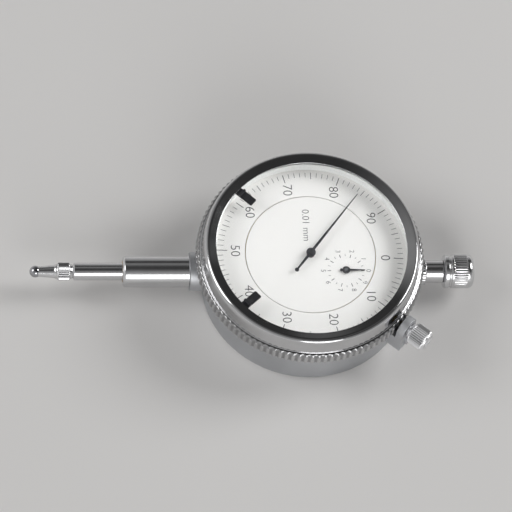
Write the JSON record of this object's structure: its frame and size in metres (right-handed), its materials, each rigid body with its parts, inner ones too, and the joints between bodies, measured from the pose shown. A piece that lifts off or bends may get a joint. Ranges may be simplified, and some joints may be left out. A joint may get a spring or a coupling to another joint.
{
  "type": "dial indicator",
  "caption": "Plunger dial indicator with turning bezel and dial, limit markers, revolution counter, clamping stem, ball contact, and a rack-and-gear movement inside.",
  "frame": {"origin": "on the dial axis, at the back cover's outer face", "axes": "+X along the plunger towards the dust cap, -X out of the stem towards the contact point; +Z out of the dial; +Y across the dial, to its left when the cap is up"},
  "size_m": [0.113, 0.058, 0.0215],
  "materials": {
    "case_metal": "satin die-cast",
    "cover_steel": "satin turned",
    "bezel_chrome": "polished plating",
    "polished_steel": "ground and polished",
    "screw_steel": "plain",
    "bronze": "turned bronze",
    "plate_brass": "satin brass",
    "wheel_brass": "polished brass",
    "arbor_steel": "ground steel",
    "spring_steel": "tempered",
    "ball_steel": "polished hard ball",
    "jewel": "polished ruby",
    "dial_white": "matt white enamel",
    "spacer_white": "moulded",
    "hand_black": "semi-matt black",
    "crystal_clear": "clear moulded acrylic"
  },
  "bodies": {
    "case": {"case_body": "case_metal", "back_cover": "cover_steel", "back_cover_screws": "screw_steel", "stem": "polished_steel", "stem_lower_bush": "bronze", "stem_upper_bush": "bronze", "top_bush": "polished_steel", "dust_cap": "polished_steel", "main_plate": "plate_brass", "front_plate": "plate_brass", "plate_pillars": "plate_brass", "front_plate_screws": "screw_steel", "movement_screws": "screw_steel", "rear_cock": "plate_brass", "cock_posts": "plate_brass", "cock_screws": "screw_steel", "lower_jewels": "jewel", "upper_jewels": "jewel", "guide_rail": "screw_steel", "guide_rail_screws": "screw_steel", "return_spring": "spring_steel", "hairspring": "spring_steel", "hairspring_stud": "plate_brass", "dial_disc": "dial_white", "dial_feet": "plate_brass", "clamp_block": "case_metal", "clamp_block_screw": "screw_steel"},
    "plunger": {"plunger": "polished_steel", "contact_point": "polished_steel", "contact_ball": "ball_steel", "guide_pin": "screw_steel"},
    "first_wheel": {"rack_pinion": "arbor_steel", "first_wheel": "wheel_brass"},
    "pointer": {"centre_pinion": "arbor_steel", "main_pointer": "hand_black", "pointer_hub": "hand_black"},
    "counter": {"counter_arbor": "arbor_steel", "takeup_wheel": "wheel_brass", "hairspring_collet": "plate_brass", "counter_pointer": "hand_black"},
    "bezel": {"bezel": "bezel_chrome", "crystal": "crystal_clear", "dial_spacer": "spacer_white", "dial_ring": "dial_white", "bezel_snap_ring": "spring_steel"},
    "marker_left": {"limit_marker_left": "hand_black"},
    "marker_right": {"limit_marker_right": "hand_black"},
    "clamp_pad": {"clamp_pad": "plate_brass"},
    "clamp_screw": {"clamp_screw": "polished_steel"}
  },
  "joints": [
    {"name": "plunger_slide", "type": "slide", "parent": "case", "child": "plunger", "axis": [1, 0, 0], "range_m": [0, 0.01], "stiffness_N_per_m": 40, "springref_m": -0.0225, "deforming": ["return_spring"]},
    {"name": "first_wheel_turn", "type": "hinge", "parent": "case", "child": "first_wheel", "pos_m": [-0.00928, 0.00344, 0.0075], "axis": [0, 0, 1], "range_deg": [-5, 365]},
    {"name": "pointer_turn", "type": "hinge", "parent": "case", "child": "pointer", "pos_m": [0, 0, 0.0125], "axis": [0, 0, 1], "range_deg": [-3610, 10]},
    {"name": "counter_turn", "type": "hinge", "parent": "case", "child": "counter", "pos_m": [0.00874, -0.00465, 0.0125], "axis": [0, 0, 1], "range_deg": [-5, 365], "deforming": ["hairspring"]},
    {"name": "bezel_turn", "type": "hinge", "parent": "case", "child": "bezel", "pos_m": [0, 0, 0.0143], "axis": [0, 0, 1], "continuous": true},
    {"name": "marker_left_turn", "type": "hinge", "parent": "bezel", "child": "marker_left", "pos_m": [0, 0, 0.0203], "axis": [0, 0, 1], "range_deg": [-122, 30]},
    {"name": "marker_right_turn", "type": "hinge", "parent": "bezel", "child": "marker_right", "pos_m": [0, 0, 0.0203], "axis": [0, 0, 1], "range_deg": [-30, 122]},
    {"name": "clamp_pad_slide", "type": "slide", "parent": "case", "child": "clamp_pad", "axis": [-0.766, 0.6428, 0], "range_m": [-0.0005, 0.00025]},
    {"name": "clamp_screw_turn", "type": "hinge", "parent": "clamp_pad", "child": "clamp_screw", "pos_m": [0.02528, -0.02121, 0.0149], "axis": [-0.766, 0.6428, 0], "range_deg": [-365, 185]}
  ],
  "couplings": [
    {"joint": "first_wheel_turn", "follows": "plunger_slide", "rad_per_m": 628.32},
    {"joint": "pointer_turn", "follows": "plunger_slide", "rad_per_m": -6283.2},
    {"joint": "counter_turn", "follows": "plunger_slide", "rad_per_m": 628.32},
    {"joint": "clamp_screw_turn", "follows": "clamp_pad_slide", "rad_per_m": 12566}
  ]
}
